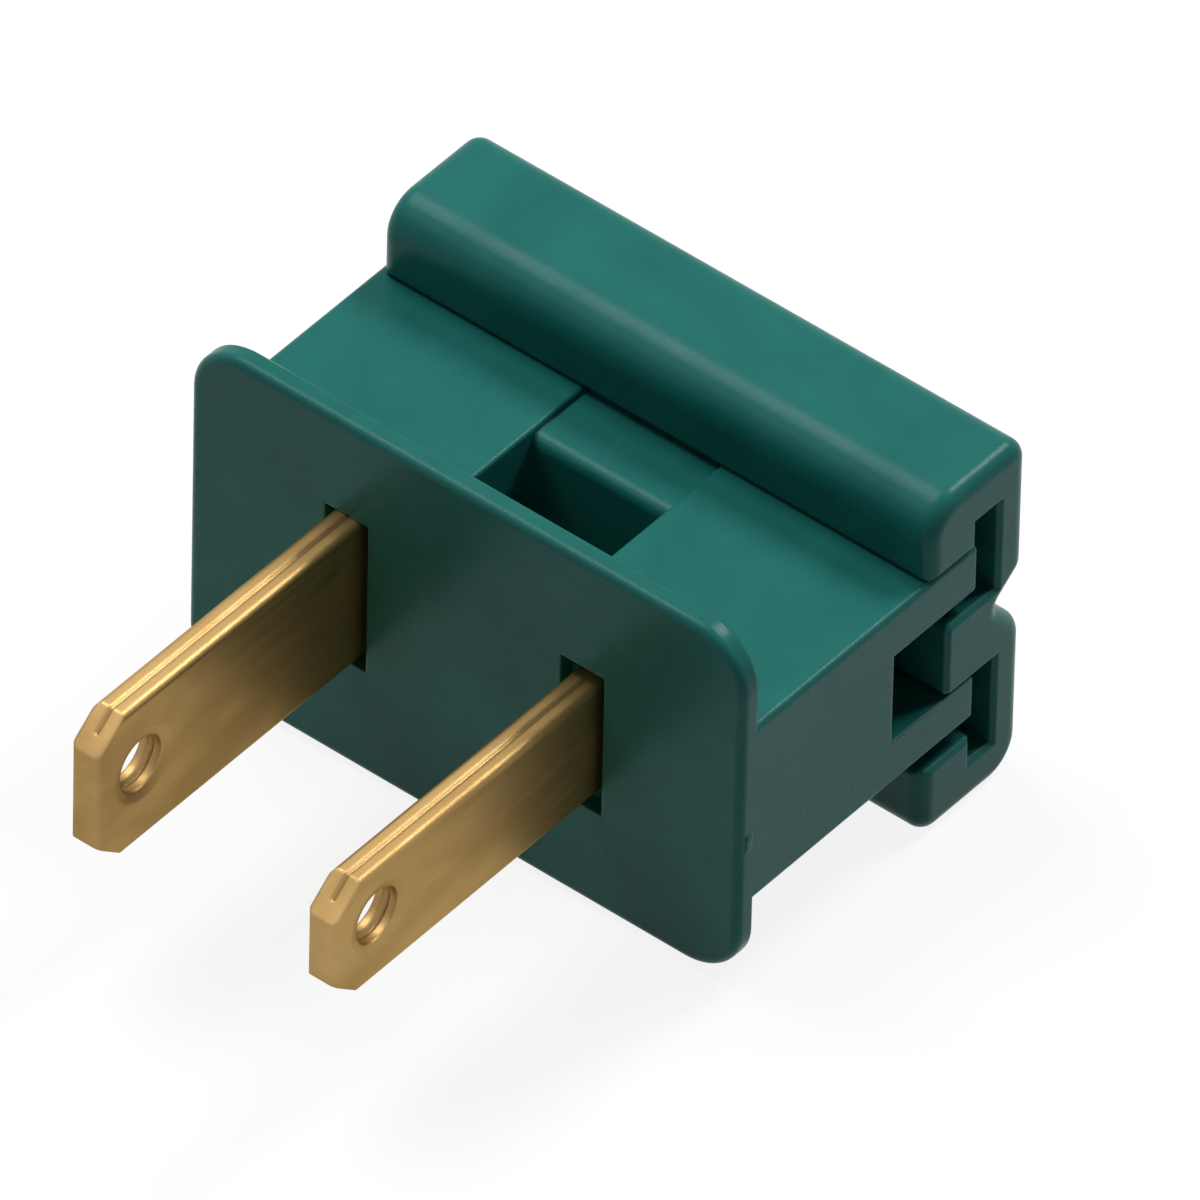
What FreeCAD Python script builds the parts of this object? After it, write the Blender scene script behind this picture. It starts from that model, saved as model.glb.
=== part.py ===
import FreeCAD, Part
import math
import os

from FreeCAD import Vector

# Slip-on plug for flat two-core cord, in millimetres.
# X runs along the plug, Y from the blades to the cover, Z up.
# The origin is the centre of the flange's front face.

# Blades: brass strip folded double, with the fold at the tip
blade_pitch = 12.7
blade_reach = 16.9
blade_thickness = 1.5
leaf_gap = 0.02
wide_blade_height = 7.85
narrow_blade_height = 6.2
wide_blade_z = 0.5
narrow_blade_z = -0.28
blade_edge_r = 0.3
fold_r = 0.3
tip_chamfer_y = 1.7
tip_chamfer_z = 1.4
hole_d = 2.7
hole_from_tip = 2.95
hole_rise = 0.2
hole_dish_r = 0.5
hole_dish_depth = 0.17
seam_r = 0.16
hole_seam_ease = 0.18

# Tongue and piercing tooth of each blade, inside the base
tongue_height = 4.4
tongue_play = 0.05
tooth_width = 1.9
tooth_reach = 2.6
tooth_point = 0.3
conductor_pitch = 2.5

# Flange and the recesses in its face that the blades stand in
flange_width = 29.7
flange_height = 19.1
flange_thickness = 1.1
flange_corner_r = 2.8
flange_front_r = 0.4
flange_back_ease = 0.15
recess_floor = 0.3
recess_side_play = 0.42
wide_recess_play = 0.2
wide_recess_drop = 0.15
narrow_recess_play = 0.8

# Block behind the flange, flush with it at both ends
block_height = 9.9
block_z = -0.25
block_edge_r = 0.3

# Cord channel, open at the back and at both ends
channel_floor_y = 10.0
channel_height = 4.95
wall_end_y = 15.35
wall_edge_r = 0.15

# Rails on the ends of the channel walls
rail_thickness = 1.3
rail_reach = 1.2
rail_inset = 2.8

# Window in the top of the block, and the shallow step behind it
window_width = 7.3
window_back_y = 8.75
window_depth = 6.0
window_round_r = 0.6
step_depth = 0.3
window_edge_r = 0.2

# Cover
cover_inset = 0.05
cover_shift = 0.15
cover_front_y = 12.1
cover_back_y = 18.6
upper_lip = 3.9
lower_lip = 3.7
lip_play = 0.5
seat_gap = 0.05
rail_gap = 0.1
groove_end_play = 0.2
presser_face_y = 13.5
lip_front_r = 1.9
lip_back_r = 1.0
lip_inner_r = 0.3
cover_end_r = 0.75
slot_ease = 0.2

# Grip groove along the back of the cover
grip_depth = 1.75
grip_rise = 1.35
grip_fall = 1.9
grip_z = 0.15
grip_upper_r = 0.9
grip_lower_r = 1.6
grip_root_r = 0.4

# Levels that the pieces share
recess_depth = flange_thickness - recess_floor
block_top = block_z + block_height / 2
block_bottom = block_z - block_height / 2
channel_top = block_z + channel_height / 2
channel_bottom = block_z - channel_height / 2
rail_back_y = wall_end_y + rail_thickness
cover_length = flange_width - 2 * cover_inset
# The cover hangs by its upper lip, so it sits below the middle of its play
cover_z = block_z - lip_play + seat_gap


def block(x, y, z):
    """Box between the (low, high) pairs x, y and z."""
    corner = Vector(x[0], y[0], z[0])
    return Part.makeBox(x[1] - x[0], y[1] - y[0], z[1] - z[0], corner)


def about(middle, size):
    """The (low, high) pair of a size centred on a middle."""
    return middle - size / 2, middle + size / 2


def edges_between(shape, low, high):
    """Edges of a shape that lie wholly between two corners."""
    room = FreeCAD.BoundBox(*low, *high)
    room.enlarge(0.001)
    return [edge for edge in shape.Edges if room.isInside(edge.BoundBox)]


def edges_along(shape, axis):
    """Straight edges of a shape that run along an axis."""
    straight = [edge for edge in shape.Edges if isinstance(edge.Curve, Part.Line)]
    return [edge for edge in straight if abs(edge.tangentAt(edge.FirstParameter).dot(axis)) > 0.999]


def rounded_section(corners):
    """YZ face through (y, z, radius) corners, turned by a tangent arc or sharp where the radius is 0."""
    points = [Vector(0, y, z) for y, z, _ in corners]
    edges = []
    turns = []
    for index, (_, _, radius) in enumerate(corners):
        here = points[index]
        if radius == 0:
            turns.append((here, None, here))
            continue
        back = (points[index - 1] - here).normalize()
        ahead = (points[(index + 1) % len(points)] - here).normalize()
        half_angle = back.getAngle(ahead) / 2
        inward = (back + ahead).normalize()
        run = radius / math.tan(half_angle)
        middle = here + inward * (radius / math.sin(half_angle) - radius)
        turns.append((here + back * run, middle, here + ahead * run))
    for index, (start, middle, end) in enumerate(turns):
        edges.append(Part.LineSegment(turns[index - 1][2], start).toShape())
        if middle:
            edges.append(Part.Arc(start, middle, end).toShape())
    return Part.Face(Part.Wire(edges))


def along_x(section, length):
    """A YZ section carried along X, centred on the plug."""
    solid = section.extrude(Vector(length, 0, 0))
    solid.translate(Vector(-length / 2, 0, 0))
    return solid


def make_flange():
    """Thin plate with round corners, softened front edge and eased back edge."""
    plate = block(about(0, flange_width), (0, flange_thickness), about(0, flange_height))
    plate = plate.makeFillet(flange_corner_r, edges_along(plate, Vector(0, 1, 0)))
    side = (flange_width / 2, flange_height / 2)
    front = edges_between(plate, (-side[0], 0, -side[1]), (side[0], 0, side[1]))
    plate = plate.makeFillet(flange_front_r, front)
    back_y = flange_thickness
    back = edges_between(plate, (-side[0], back_y, -side[1]), (side[0], back_y, side[1]))
    return plate.makeChamfer(flange_back_ease, back)


def make_block():
    """Block behind the flange, cut back to two walls along the cord channel."""
    body = block(
        about(0, flange_width),
        (flange_front_r, wall_end_y),
        about(block_z, block_height),
    )
    body = body.makeFillet(block_edge_r, edges_along(body, Vector(0, 1, 0)))
    channel = block(
        about(0, 2 * flange_width),
        (channel_floor_y, 2 * wall_end_y),
        about(block_z, channel_height),
    )
    body = body.cut(channel)
    side = flange_width / 2
    mouth = []
    for z in (channel_bottom, channel_top):
        mouth += edges_between(body, (-side, wall_end_y, z), (side, wall_end_y, z))
    return body.makeFillet(wall_edge_r, mouth)


def make_rails():
    """Bars on the ends of the walls that stand out past them, for the cover to hook round."""
    length = flange_width - 2 * rail_inset
    root_y = wall_end_y - 2 * wall_edge_r
    bars = []
    for wall, reach in (
        ((channel_top, block_top), (block_top, block_top + rail_reach)),
        ((block_bottom, channel_bottom), (block_bottom - rail_reach, block_bottom)),
    ):
        stem = block(about(0, length), (root_y, rail_back_y), wall)
        head = block(about(0, length), (wall_end_y, rail_back_y), reach)
        bars.append(stem.fuse(head).removeSplitter())
    return bars


def cut_window(body):
    """Pocket in the top behind the flange, and the shallow step that runs back from it."""
    across = about(0, window_width)
    step_z = block_top - step_depth
    pocket = block(across, (flange_thickness, window_back_y), (block_top - window_depth, 2 * block_top))
    step = block(across, (window_back_y - step_depth, wall_end_y - rail_gap), (step_z, 2 * block_top))
    body = body.cut(pocket).cut(step)
    lip = edges_between(
        body,
        (across[0], window_back_y, step_z),
        (across[1], window_back_y, step_z),
    )
    body = body.makeFillet(window_round_r, lip)
    sides = []
    for x in across:
        sides += edges_between(body, (x, flange_thickness, block_top), (x, wall_end_y, block_top))
    return body.makeFillet(window_edge_r, sides)


def blade_seat(x, z, height, play):
    """Recess in the flange's face and the slot through to the channel, for one blade."""
    recess = block(
        about(x, blade_thickness + 2 * recess_side_play),
        (-flange_thickness, recess_depth),
        about(z, height + 2 * play),
    )
    slot = block(
        about(x, blade_thickness + 2 * tongue_play),
        (0, channel_floor_y + channel_height),
        about(block_z, tongue_height),
    )
    return recess.fuse(slot)


def make_base():
    """Flange, block and rails as one moulding, with the window and the blades' seats."""
    body = make_flange().fuse([make_block(), *make_rails()]).removeSplitter()
    body = cut_window(body)
    wide_z = wide_blade_z - wide_recess_drop
    wide = blade_seat(-blade_pitch / 2, wide_z, wide_blade_height, wide_recess_play)
    narrow = blade_seat(blade_pitch / 2, narrow_blade_z, narrow_blade_height, narrow_recess_play)
    return body.cut([wide, narrow]).removeSplitter()


def make_cover():
    """Bar with soft ends and a grip groove behind, cut out in front to two lips round a presser."""
    lip_half = block_height / 2 + lip_play
    lip_top = cover_z + lip_half
    lip_bottom = cover_z - lip_half
    outer_top = lip_top + upper_lip
    outer_bottom = lip_bottom - lower_lip
    bar = along_x(rounded_section([
        (cover_front_y, outer_top, lip_front_r),
        (cover_back_y, outer_top, lip_back_r),
        (cover_back_y, outer_bottom, lip_front_r),
        (cover_front_y, outer_bottom, lip_back_r),
    ]), cover_length)
    bar = bar.cut(make_grip_groove()).removeSplitter()
    side = cover_length / 2
    rims = []
    for end_x in (-side, side):
        rims += edges_between(bar, (end_x, cover_front_y, outer_bottom), (end_x, cover_back_y, outer_top))
    bar = bar.makeFillet(cover_end_r, rims)
    cover = bar.cut(make_cover_hollow(lip_top, lip_bottom)).removeSplitter()
    cover.translate(Vector(cover_shift, 0, 0))
    return cover


def make_grip_groove():
    """V-shaped groove along the cover's back, with a round root and edges that turn into the back."""
    behind_y = cover_back_y + grip_depth
    return along_x(rounded_section([
        (cover_back_y - grip_depth, grip_z, grip_root_r),
        (cover_back_y, grip_z - grip_fall, grip_lower_r),
        (cover_back_y, grip_z - 2 * grip_fall, 0),
        (behind_y, grip_z - 2 * grip_fall, 0),
        (behind_y, grip_z + 2 * grip_rise, 0),
        (cover_back_y, grip_z + 2 * grip_rise, 0),
        (cover_back_y, grip_z + grip_rise, grip_upper_r),
    ]), 2 * cover_length)


def make_cover_hollow(lip_top, lip_bottom):
    """Space inside the cover for the walls and rails, round a presser and eased at both ends."""
    mouth_y = cover_front_y - lip_back_r
    groove_front_y = wall_end_y - rail_gap
    groove_back_y = rail_back_y + rail_gap
    groove_top = lip_top + rail_reach + groove_end_play
    groove_bottom = lip_bottom - rail_reach - groove_end_play
    presser_half = channel_height / 2 - lip_play
    section = rounded_section([
        (mouth_y, lip_top + 2 * lip_inner_r, 0),
        (cover_front_y, lip_top + 2 * lip_inner_r, 0),
        (cover_front_y, lip_top, lip_inner_r),
        (groove_front_y, lip_top, 0),
        (groove_front_y, groove_top, 0),
        (groove_back_y, groove_top, 0),
        (groove_back_y, cover_z + presser_half, 0),
        (presser_face_y, cover_z + presser_half, lip_inner_r),
        (presser_face_y, cover_z - presser_half, lip_inner_r),
        (groove_back_y, cover_z - presser_half, 0),
        (groove_back_y, groove_bottom, 0),
        (groove_front_y, groove_bottom, 0),
        (groove_front_y, lip_bottom, 0),
        (cover_front_y, lip_bottom, lip_inner_r),
        (cover_front_y, lip_bottom - 2 * lip_inner_r, 0),
        (mouth_y, lip_bottom - 2 * lip_inner_r, 0),
    ])
    tools = [along_x(section, 2 * cover_length)]
    # Each flare runs on past the end face, so that its wide end isn't flush with it
    run_past = slot_ease / 4
    for way in (-1, 1):
        narrow = section.OuterWire.copy()
        wide = section.makeOffset2D(slot_ease + run_past, 2).OuterWire
        narrow.translate(Vector(way * (cover_length / 2 - slot_ease), 0, 0))
        wide.translate(Vector(way * (cover_length / 2 + run_past), 0, 0))
        tools.append(Part.makeLoft([narrow, wide], True, True))
    return tools


def make_blade(x, z, height, tooth_z):
    """Folded strip: blade with a squared fold at its tip, shouldered tongue and split piercing tooth."""
    half = blade_thickness / 2
    tip_y = -blade_reach
    strip = block(about(x, blade_thickness), (tip_y, recess_depth), about(z, height))
    fold = edges_between(strip, (x - half, tip_y, z - height / 2), (x + half, tip_y, z + height / 2))
    strip = strip.makeFillet(fold_r, [edge for edge in fold if edge.Length > blade_thickness])
    for side in (1, -1):
        edge_z = z + side * height / 2
        corner = Part.makePolygon([
            Vector(x - half, tip_y, edge_z),
            Vector(x - half, tip_y + tip_chamfer_y, edge_z),
            Vector(x - half, tip_y, edge_z - side * tip_chamfer_z),
            Vector(x - half, tip_y, edge_z),
        ])
        strip = strip.cut(Part.Face(corner).extrude(Vector(blade_thickness, 0, 0)))
    long_edges = [
        edge
        for edge in edges_along(strip, Vector(0, 1, 0))
        if abs(abs(edge.CenterOfMass.z - z) - height / 2) < blade_edge_r
    ]
    strip = strip.makeFillet(blade_edge_r, long_edges)
    seam = block(
        about(x, leaf_gap),
        (tip_y + half, channel_floor_y + 2 * tooth_reach),
        about(z, 2 * height),
    )
    strip = strip.cut(seam)
    lips = [
        edge
        for edge in edges_between(
            strip,
            (x - leaf_gap / 2, tip_y, z - height / 2),
            (x + leaf_gap / 2, recess_depth, z + height / 2),
        )
        if abs(edge.tangentAt(edge.FirstParameter).y) > 0.5
    ]
    strip = strip.makeFillet(seam_r, lips)
    tongue = block(
        about(x, blade_thickness),
        (recess_depth - half, channel_floor_y),
        about(block_z, tongue_height),
    )
    inside = tongue.fuse(make_tooth(x, tooth_z)).cut(seam)
    hole = make_hole(x, tip_y + hole_from_tip, z + hole_rise)
    return strip.fuse(inside).cut(hole).removeSplitter()


def make_hole(x, y, z):
    """Round hole through both leaves, eased at the two faces and at the seam."""
    half = blade_thickness / 2
    along = Vector(1, 0, 0)
    radius = hole_d / 2
    tools = [Part.makeCylinder(radius, 2 * blade_thickness, Vector(x - blade_thickness, y, z), along)]
    seam_depth = leaf_gap / 2 + hole_seam_ease
    for face_x, rim, depth, ways in (
        (x - half, hole_dish_r, hole_dish_depth, [along]),
        (x + half, hole_dish_r, hole_dish_depth, [-along]),
        (x, hole_seam_ease, seam_depth, [along, -along]),
    ):
        for way in ways:
            tools.append(Part.makeCone(radius + rim, radius, depth, Vector(face_x, y, z), way))
    return tools


def make_tooth(x, z):
    """Four-sided point that stands in the cord channel and pierces one conductor."""
    rings = []
    for y, wide, tall in (
        (channel_floor_y - tooth_point, blade_thickness, tooth_width),
        (channel_floor_y, blade_thickness, tooth_width),
        (channel_floor_y + tooth_reach, tooth_point, tooth_point),
    ):
        low_x, high_x = about(x, wide)
        low_z, high_z = about(z, tall)
        rings.append(Part.makePolygon([
            Vector(low_x, y, low_z),
            Vector(high_x, y, low_z),
            Vector(high_x, y, high_z),
            Vector(low_x, y, high_z),
            Vector(low_x, y, low_z),
        ]))
    return Part.makeLoft(rings, True, True)


nodes = {
    "base_housing": make_base(),
    "slide_cover": make_cover(),
    "wide_blade": make_blade(
        -blade_pitch / 2, wide_blade_z, wide_blade_height, block_z + conductor_pitch / 2
    ),
    "narrow_blade": make_blade(
        blade_pitch / 2, narrow_blade_z, narrow_blade_height, block_z - conductor_pitch / 2
    ),
}

os.makedirs("parts", exist_ok=True)
for name, shape in nodes.items():
    solid = shape.Solids[0]
    print(name, len(shape.Solids), solid.isValid(), round(solid.Volume, 2), solid.BoundBox)
    solid.exportStep(f"parts/{name}.step")
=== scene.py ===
import math

import bmesh
import bpy
import numpy as np
from mathutils import Matrix, Vector


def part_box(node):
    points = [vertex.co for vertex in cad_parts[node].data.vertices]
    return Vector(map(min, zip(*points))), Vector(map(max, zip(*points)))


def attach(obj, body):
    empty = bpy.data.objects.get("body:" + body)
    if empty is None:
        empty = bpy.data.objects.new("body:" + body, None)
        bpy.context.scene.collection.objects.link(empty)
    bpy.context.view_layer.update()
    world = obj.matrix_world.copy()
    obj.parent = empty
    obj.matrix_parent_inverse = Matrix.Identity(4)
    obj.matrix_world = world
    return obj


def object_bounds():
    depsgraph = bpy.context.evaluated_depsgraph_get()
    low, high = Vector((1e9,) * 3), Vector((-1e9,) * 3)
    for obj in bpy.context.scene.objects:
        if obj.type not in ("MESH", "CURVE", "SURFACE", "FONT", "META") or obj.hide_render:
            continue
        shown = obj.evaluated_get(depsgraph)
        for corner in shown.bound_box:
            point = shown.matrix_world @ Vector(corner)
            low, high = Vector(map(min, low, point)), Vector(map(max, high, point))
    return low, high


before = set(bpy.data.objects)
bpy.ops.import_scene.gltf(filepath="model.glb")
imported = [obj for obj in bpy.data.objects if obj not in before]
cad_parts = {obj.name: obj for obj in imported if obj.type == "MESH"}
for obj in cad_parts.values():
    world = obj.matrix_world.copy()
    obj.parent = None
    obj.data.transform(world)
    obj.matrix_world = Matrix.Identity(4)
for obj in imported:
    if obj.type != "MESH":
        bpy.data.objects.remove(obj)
cad_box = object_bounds()

MM = 0.001
SEAM_MERGE = 0.0001 * MM

# The photograph's view, fitted to the plug's outline
VIEW_AZIMUTH = 38.46
VIEW_ELEVATION = 43.27
VIEW_ROLL = 1.39
VIEW_DISTANCE = 1500 * MM
VIEW_TARGET = Vector((1.915, 6.622, -0.051)) * MM
VIEW_LENS = 1082.4
SENSOR_WIDTH = 36
CLIP_NEAR = 0.05
CLIP_FAR = 20

# Colours, linear
GREEN_DEEP = (0.010, 0.129, 0.113, 1)
GREEN_BODY = (0.014, 0.152, 0.134, 1)
# Pale green for hairline scuffs and for the edges, where it is partly wear and partly a painted highlight
GREEN_SCUFF_AND_EDGE_SHEEN = (0.08, 0.24, 0.215, 1)
BRASS_DARK = (0.31, 0.194, 0.072, 1)
BRASS_BODY = (0.42, 0.275, 0.110, 1)
BRASS_BRIGHT = (0.53, 0.385, 0.190, 1)
BRASS_GRAZING = (0.92, 0.79, 0.56, 1)
WHITE = (1, 1, 1, 1)

# Patterns of the finishes, in cells to the metre
FLOW_CELLS = 230
GRAIN_CELLS = 5200
PATCH_CELLS = 620
HAIR_CELLS = 3300
SCUFF_CELLS = 140
STREAK_CELLS = 2600
TARNISH_CELLS = 300
SPECK_CELLS = 3600

# Scale of a pattern on each axis: under 1 in Y draws it out along the blades
HAIR_SCALE = (1.0, 0.16, 1.0)
STREAK_SCALE = (1.0, 0.06, 1.0)
TARNISH_SCALE = (1.0, 0.5, 1.0)

# How the finishes treat a sharp edge: the width that turns, and the dot product of the true normal and
# the turned one where an edge begins and where it is full
PLASTIC_ROUND = 0.16 * MM
BRASS_ROUND = 0.20 * MM
ROUND_SAMPLES = 6
EDGE_BEGINS = 0.995
EDGE_FULL = 0.80

PLASTIC_SPECULAR = 0.11
SCUFF_SHOWS = 0.10
# How much the brass edges lighten: partly rubbed metal, partly a painted glint
RUBBED_AND_GLINT_SHOWS = 0.35

# The floor's paint for the light that it throws back, and its paint and glow to the camera, gloss and glass
FLOOR_HALF = 3.0
FLOOR_PALE = (0.46, 0.46, 0.46, 1)
FLOOR_SEEN = (0.16, 0.16, 0.16, 1)
FLOOR_GLOW = 0.87
WORLD_LIGHT = 0.07

# Lamps in metres and watts: place, side of the square, power
LAMP_AIM = Vector((0, 0.005, 0))
LAMPS = {
    "over_left": (Vector((-0.17, 0.012, 0.34)), 0.21, 0.92),
    "behind": (Vector((0.06, 0.25, 0.31)), 0.11, 0.86),
    "front_left": (Vector((-0.18, -0.22, 0.27)), 0.08, 0.06),
}


def empty_material(name):
    """A node material that holds only its output."""
    material = bpy.data.materials.new(name)
    material.use_nodes = True
    tree = material.node_tree
    tree.nodes.clear()
    return material, tree, tree.nodes.new("ShaderNodeOutputMaterial")


def new_finish(name):
    """A node material with a principled shader joined to its output."""
    material, tree, output = empty_material(name)
    shader = tree.nodes.new("ShaderNodeBsdfPrincipled")
    tree.links.new(shader.outputs["BSDF"], output.inputs["Surface"])
    return material, tree, shader


def object_coords(tree, scale=(1, 1, 1)):
    """Object coordinates in metres, times a scale for each axis."""
    coords = tree.nodes.new("ShaderNodeTexCoord")
    mapping = tree.nodes.new("ShaderNodeMapping")
    mapping.inputs["Scale"].default_value = scale
    tree.links.new(coords.outputs["Object"], mapping.inputs["Vector"])
    return mapping.outputs["Vector"]


def noise(tree, vector, cells, detail=2.0, roughness=0.5, distortion=0.0):
    """Fractal noise at so many cells to the metre."""
    node = tree.nodes.new("ShaderNodeTexNoise")
    node.inputs["Scale"].default_value = cells
    node.inputs["Detail"].default_value = detail
    node.inputs["Roughness"].default_value = roughness
    node.inputs["Distortion"].default_value = distortion
    tree.links.new(vector, node.inputs["Vector"])
    return node.outputs["Fac"]


def ramp(tree, value, low, high, to_low=0.0, to_high=1.0):
    """A value between low and high carried smoothly to another range."""
    node = tree.nodes.new("ShaderNodeMapRange")
    node.interpolation_type = "SMOOTHSTEP"
    node.inputs["From Min"].default_value = low
    node.inputs["From Max"].default_value = high
    node.inputs["To Min"].default_value = to_low
    node.inputs["To Max"].default_value = to_high
    tree.links.new(value, node.inputs["Value"])
    return node.outputs["Result"]


def math_node(tree, operation, first, second):
    """Sum, product or larger of a value and another value or a number."""
    node = tree.nodes.new("ShaderNodeMath")
    node.operation = operation
    for socket, value in zip(node.inputs, (first, second)):
        if isinstance(value, (int, float)):
            socket.default_value = value
        else:
            tree.links.new(value, socket)
    return node.outputs["Value"]


def blend_colour(tree, factor, first, second):
    """Colour that goes from the first to the second by a factor."""
    node = tree.nodes.new("ShaderNodeMix")
    node.data_type = "RGBA"
    tree.links.new(factor, node.inputs["Factor"])
    colour_sockets = [s for s in node.inputs if s.type == "RGBA"]
    for socket, colour in zip(colour_sockets, (first, second)):
        if isinstance(colour, tuple):
            socket.default_value = colour
        else:
            tree.links.new(colour, socket)
    return [s for s in node.outputs if s.type == "RGBA"][0]


def bump(tree, height, distance, strength, normal):
    """Normal tilted by a height, on top of another normal."""
    node = tree.nodes.new("ShaderNodeBump")
    node.inputs["Strength"].default_value = strength
    node.inputs["Distance"].default_value = distance
    tree.links.new(height, node.inputs["Height"])
    tree.links.new(normal, node.inputs["Normal"])
    return node.outputs["Normal"]


def soft_edges(tree, radius):
    """Normal that turns smoothly over the last bit of surface before a sharp edge."""
    node = tree.nodes.new("ShaderNodeBevel")
    node.samples = ROUND_SAMPLES
    node.inputs["Radius"].default_value = radius
    return node.outputs["Normal"]


def edge_mask(tree, rounded):
    """How far the rounded normal leaves the true one, 0 on a flat and near 1 at an edge."""
    geometry = tree.nodes.new("ShaderNodeNewGeometry")
    dot = tree.nodes.new("ShaderNodeVectorMath")
    dot.operation = "DOT_PRODUCT"
    tree.links.new(rounded, dot.inputs[0])
    tree.links.new(geometry.outputs["Normal"], dot.inputs[1])
    return ramp(tree, dot.outputs["Value"], EDGE_BEGINS, EDGE_FULL)


def green_moulding():
    """Semi-matte moulded plastic: faint flow mottling, fine grain, hairline scuffs, and pale edges, partly
    wear and partly a painted highlight.
    """
    material, tree, shader = new_finish("green_moulding")
    coords = object_coords(tree)
    flow = noise(tree, coords, FLOW_CELLS, detail=3, roughness=0.55, distortion=0.6)
    grain = noise(tree, coords, GRAIN_CELLS, detail=2, roughness=0.6)
    patch = noise(tree, coords, PATCH_CELLS, detail=2)
    hairs = noise(
        tree, object_coords(tree, HAIR_SCALE), HAIR_CELLS, detail=1, roughness=0.4, distortion=0.3
    )
    handled = noise(tree, coords, SCUFF_CELLS, detail=1)
    rounded = soft_edges(tree, PLASTIC_ROUND)

    hairlines = ramp(tree, hairs, low=0.66, high=0.74)
    scuff = math_node(tree, "MULTIPLY", hairlines, ramp(tree, handled, low=0.55, high=0.72))
    uneven = ramp(tree, patch, low=0.30, high=0.75, to_low=0.05, to_high=0.40)
    # Edges made paler in uneven patches: partly wear, partly a painted highlight along the edges
    edge_wear_and_sheen = math_node(tree, "MULTIPLY", edge_mask(tree, rounded), uneven)
    scuff_and_edge_sheen = math_node(tree, "MAXIMUM", edge_wear_and_sheen, math_node(tree, "MULTIPLY", scuff, SCUFF_SHOWS))
    colour = blend_colour(tree, ramp(tree, flow, low=0.25, high=0.75), GREEN_DEEP, GREEN_BODY)
    colour = blend_colour(tree, scuff_and_edge_sheen, colour, GREEN_SCUFF_AND_EDGE_SHEEN)
    tree.links.new(colour, shader.inputs["Base Color"])

    patchy = ramp(tree, patch, low=0.2, high=0.8, to_low=0.23, to_high=0.31)
    grainy = ramp(tree, grain, low=0.2, high=0.8, to_low=0.0, to_high=0.06)
    tree.links.new(math_node(tree, "ADD", patchy, grainy), shader.inputs["Roughness"])
    shader.inputs["Specular IOR Level"].default_value = PLASTIC_SPECULAR

    normal = bump(tree, grain, distance=0.02 * MM, strength=0.22, normal=rounded)
    normal = bump(tree, flow, distance=0.10 * MM, strength=0.12, normal=normal)
    tree.links.new(normal, shader.inputs["Normal"])
    return material


def blade_brass():
    """Drawn brass strip: streaks along the blade, dull tarnish in patches, and brighter edges, partly rubbed
    and partly a painted glint.
    """
    material, tree, shader = new_finish("blade_brass")
    streaks = noise(tree, object_coords(tree, STREAK_SCALE), STREAK_CELLS, detail=3, roughness=0.6)
    tarnish = noise(tree, object_coords(tree, TARNISH_SCALE), TARNISH_CELLS, detail=3)
    speck = noise(tree, object_coords(tree), SPECK_CELLS, detail=2)
    rounded = soft_edges(tree, BRASS_ROUND)

    # Edges turned to the brighter brass: partly rubbing, partly a painted glint along them
    rubbed_and_glint = math_node(tree, "MULTIPLY", edge_mask(tree, rounded), RUBBED_AND_GLINT_SHOWS)
    drawn = ramp(tree, streaks, low=0.50, high=0.85, to_low=0.0, to_high=0.18)
    colour = blend_colour(tree, ramp(tree, tarnish, low=0.25, high=0.75), BRASS_DARK, BRASS_BODY)
    colour = blend_colour(tree, drawn, colour, BRASS_BRIGHT)
    colour = blend_colour(tree, rubbed_and_glint, colour, BRASS_BRIGHT)
    tree.links.new(colour, shader.inputs["Base Color"])
    shader.inputs["Metallic"].default_value = 1.0
    shader.inputs["Specular Tint"].default_value = BRASS_GRAZING

    dull = ramp(tree, tarnish, low=0.25, high=0.75, to_low=0.47, to_high=0.37)
    streaky = ramp(tree, streaks, low=0.3, high=0.8, to_low=0.0, to_high=0.05)
    tree.links.new(math_node(tree, "ADD", dull, streaky), shader.inputs["Roughness"])

    normal = bump(tree, streaks, distance=0.02 * MM, strength=0.14, normal=rounded)
    normal = bump(tree, speck, distance=0.01 * MM, strength=0.15, normal=normal)
    tree.links.new(normal, shader.inputs["Normal"])
    return material


def give_material(node_name, material):
    """Puts one finish on a CAD node."""
    slots = bpy.data.objects[node_name].data.materials
    slots.clear()
    slots.append(material)


def grid_mesh(name, points):
    """Mesh of the quads between the points of an (n, m, 3) grid, smooth shaded."""
    rows, columns = points.shape[:2]
    index = np.arange(rows * columns).reshape(rows, columns)
    quads = np.stack(
        (index[:-1, :-1], index[1:, :-1], index[1:, 1:], index[:-1, 1:]), axis=-1
    ).reshape(-1, 4)
    mesh = bpy.data.meshes.new(name)
    mesh.from_pydata(points.reshape(-1, 3).tolist(), [], quads.tolist())
    mesh.polygons.foreach_set("use_smooth", np.ones(len(mesh.polygons), dtype=bool))
    piece = bpy.data.objects.new(name, mesh)
    bpy.context.collection.objects.link(piece)
    return piece


def close_seams(mesh):
    """Merges the points that lie on each other where the edges of a grid meet."""
    edit = bmesh.new()
    edit.from_mesh(mesh)
    bmesh.ops.remove_doubles(edit, verts=edit.verts, dist=SEAM_MERGE)
    edit.to_mesh(mesh)
    edit.free()


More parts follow.
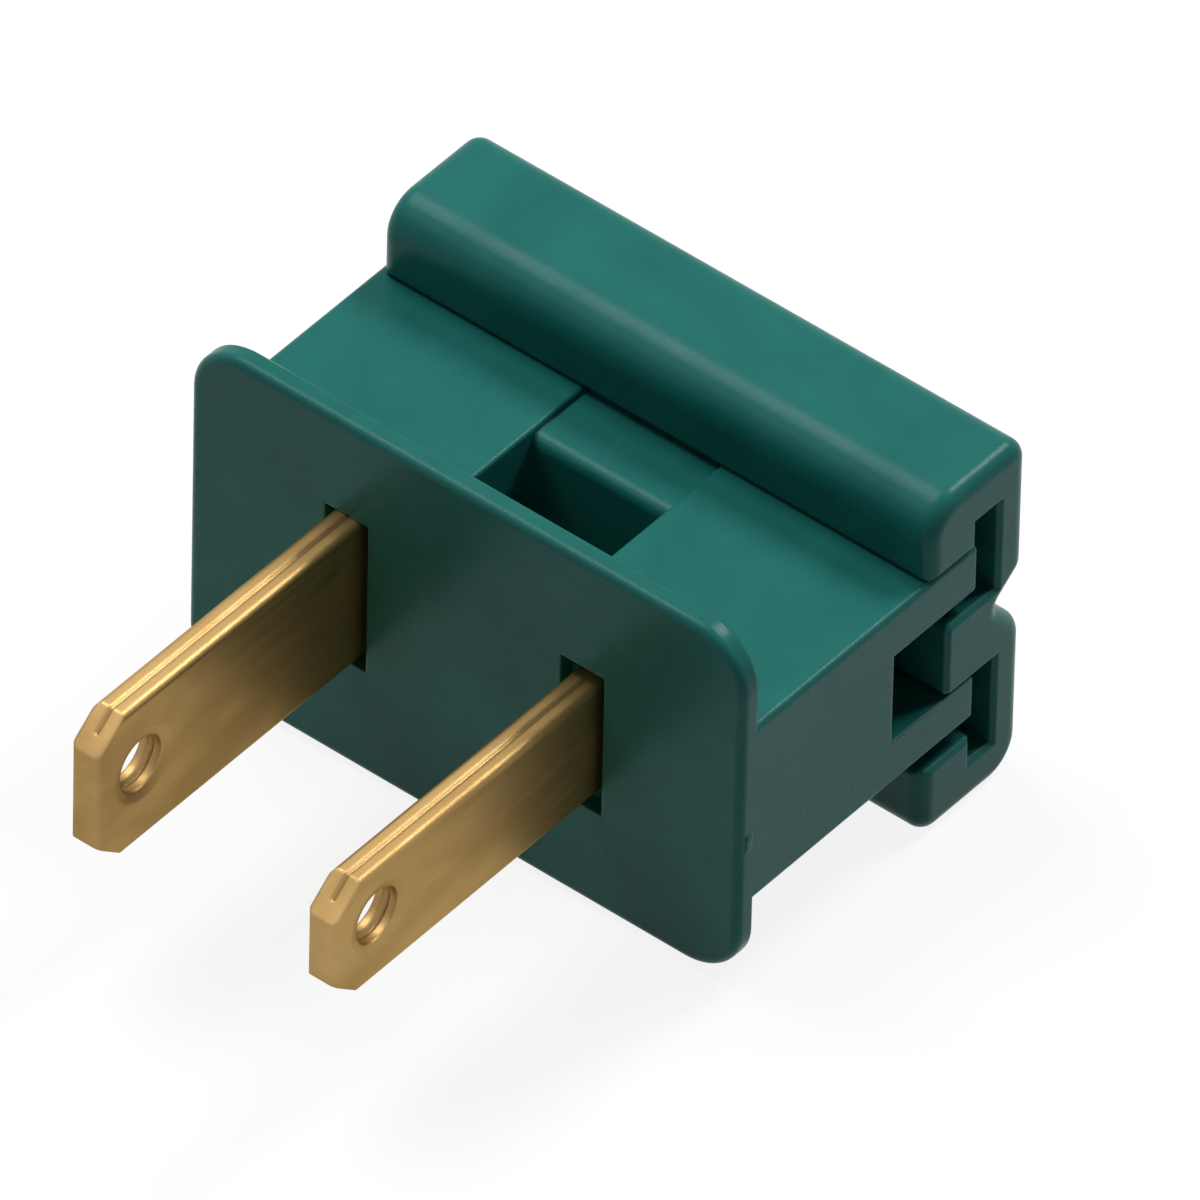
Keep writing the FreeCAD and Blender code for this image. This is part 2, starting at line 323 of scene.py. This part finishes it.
def gate_scar(material):
    """Low torn dome where the runner was cut from the flange's edge.

    Over a square patch u, v from -1 to 1 the height is (1 - u^4)(1 - v^4), pulled about by a coarse and
    a fine wave. The rim is sunk a little below the edge that carries it, and a flat back closes the
    shape: the same patch run the other way at no height, which meets the dome all round the rim.
    """
    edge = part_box("base_housing")[1].x
    middle_deep, middle_tall = 0.62 * MM, -1.6 * MM
    half_deep, half_tall = 0.27 * MM, 0.55 * MM
    proud, sunk = 0.085 * MM, 0.02 * MM
    points_deep, points_tall = 25, 41
    u, v = np.meshgrid(np.linspace(-1, 1, points_deep), np.linspace(-1, 1, points_tall), indexing="ij")
    coarse = 0.22 * np.sin(5.1 * v + 1.3 * u)
    fine = 0.12 * np.sin(9.7 * u - 4.3 * v)
    rise = (1 - u**4) * (1 - v**4) * (1 + coarse + fine)
    dome = np.stack((
        edge - sunk + (proud + sunk) * rise / rise.max(),
        middle_deep + half_deep * u,
        middle_tall + half_tall * v,
    ), axis=-1)
    back = dome[::-1].copy()
    back[..., 0] = edge - sunk
    piece = grid_mesh("gate_scar", np.concatenate((dome, back[1:])))
    close_seams(piece.data)
    piece.data.materials.append(material)
    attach(piece, "plug")


def looked_at(tree):
    """1 for a ray from the camera, a mirrored ray or a ray through glass, and 0 for light on things."""
    path = tree.nodes.new("ShaderNodeLightPath")
    mirrored = math_node(tree, "MAXIMUM", path.outputs["Is Glossy Ray"], path.outputs["Is Transmission Ray"])
    return math_node(tree, "MAXIMUM", path.outputs["Is Camera Ray"], mirrored)


def make_floor(height):
    """Wide pale floor that throws light back, looks white and keeps a soft shadow."""
    corner = np.array([-FLOOR_HALF, FLOOR_HALF])
    across, along = np.meshgrid(corner, corner, indexing="ij")
    floor = grid_mesh("floor", np.stack((across, along, np.full_like(across, height)), axis=-1))
    material, tree, output = empty_material("floor_white")
    seen = looked_at(tree)
    matte = tree.nodes.new("ShaderNodeBsdfDiffuse")
    tree.links.new(blend_colour(tree, seen, FLOOR_PALE, FLOOR_SEEN), matte.inputs["Color"])
    glow = tree.nodes.new("ShaderNodeEmission")
    tree.links.new(math_node(tree, "MULTIPLY", seen, FLOOR_GLOW), glow.inputs["Strength"])
    both = tree.nodes.new("ShaderNodeAddShader")
    tree.links.new(matte.outputs["BSDF"], both.inputs[0])
    tree.links.new(glow.outputs["Emission"], both.inputs[1])
    tree.links.new(both.outputs["Shader"], output.inputs["Surface"])
    floor.data.materials.append(material)


def make_world():
    """Weak even light from all round, which looks white behind the object."""
    world = bpy.data.worlds.new("studio")
    bpy.context.scene.world = world
    world.use_nodes = True
    tree = world.node_tree
    tree.nodes.clear()
    output = tree.nodes.new("ShaderNodeOutputWorld")
    light = tree.nodes.new("ShaderNodeBackground")
    light.inputs["Color"].default_value = WHITE
    tree.links.new(math_node(tree, "MAXIMUM", looked_at(tree), WORLD_LIGHT), light.inputs["Strength"])
    tree.links.new(light.outputs["Background"], output.inputs["Surface"])


def make_softbox(name, place, side, power):
    """Square lamp turned towards the plug."""
    lamp = bpy.data.lights.new(name, "AREA")
    lamp.shape = "SQUARE"
    lamp.size = side
    lamp.energy = power
    box = bpy.data.objects.new(name, lamp)
    box.location = place
    box.rotation_mode = "QUATERNION"
    box.rotation_quaternion = (LAMP_AIM - place).to_track_quat("-Z", "Y")
    bpy.context.collection.objects.link(box)


def make_camera():
    """Long lens at the photograph's angle, turned a little about its own axis."""
    azimuth, elevation, roll = (math.radians(a) for a in (VIEW_AZIMUTH, VIEW_ELEVATION, VIEW_ROLL))
    back = Vector((
        math.sin(azimuth) * math.cos(elevation),
        -math.cos(azimuth) * math.cos(elevation),
        math.sin(elevation),
    ))
    level = Vector((math.cos(azimuth), math.sin(azimuth), 0))
    upright = back.cross(level)
    right = level * math.cos(roll) + upright * math.sin(roll)
    up = upright * math.cos(roll) - level * math.sin(roll)
    lens = bpy.data.cameras.new("camera")
    lens.lens = VIEW_LENS
    lens.sensor_width = SENSOR_WIDTH
    lens.clip_start = CLIP_NEAR
    lens.clip_end = CLIP_FAR
    camera = bpy.data.objects.new("camera", lens)
    camera.rotation_mode = "QUATERNION"
    camera.rotation_quaternion = Matrix((right, up, back)).transposed().to_quaternion()
    camera.location = VIEW_TARGET + back * VIEW_DISTANCE
    bpy.context.collection.objects.link(camera)
    bpy.context.scene.camera = camera


plastic = green_moulding()
brass = blade_brass()
for name in ("base_housing", "slide_cover"):
    give_material(name, plastic)
for name in ("wide_blade", "narrow_blade"):
    give_material(name, brass)

gate_scar(plastic)

make_floor(cad_box[0].z)
make_world()
for name, (place, side, power) in LAMPS.items():
    make_softbox(name, place, side, power)
make_camera()
bpy.context.scene.view_settings.view_transform = "Standard"
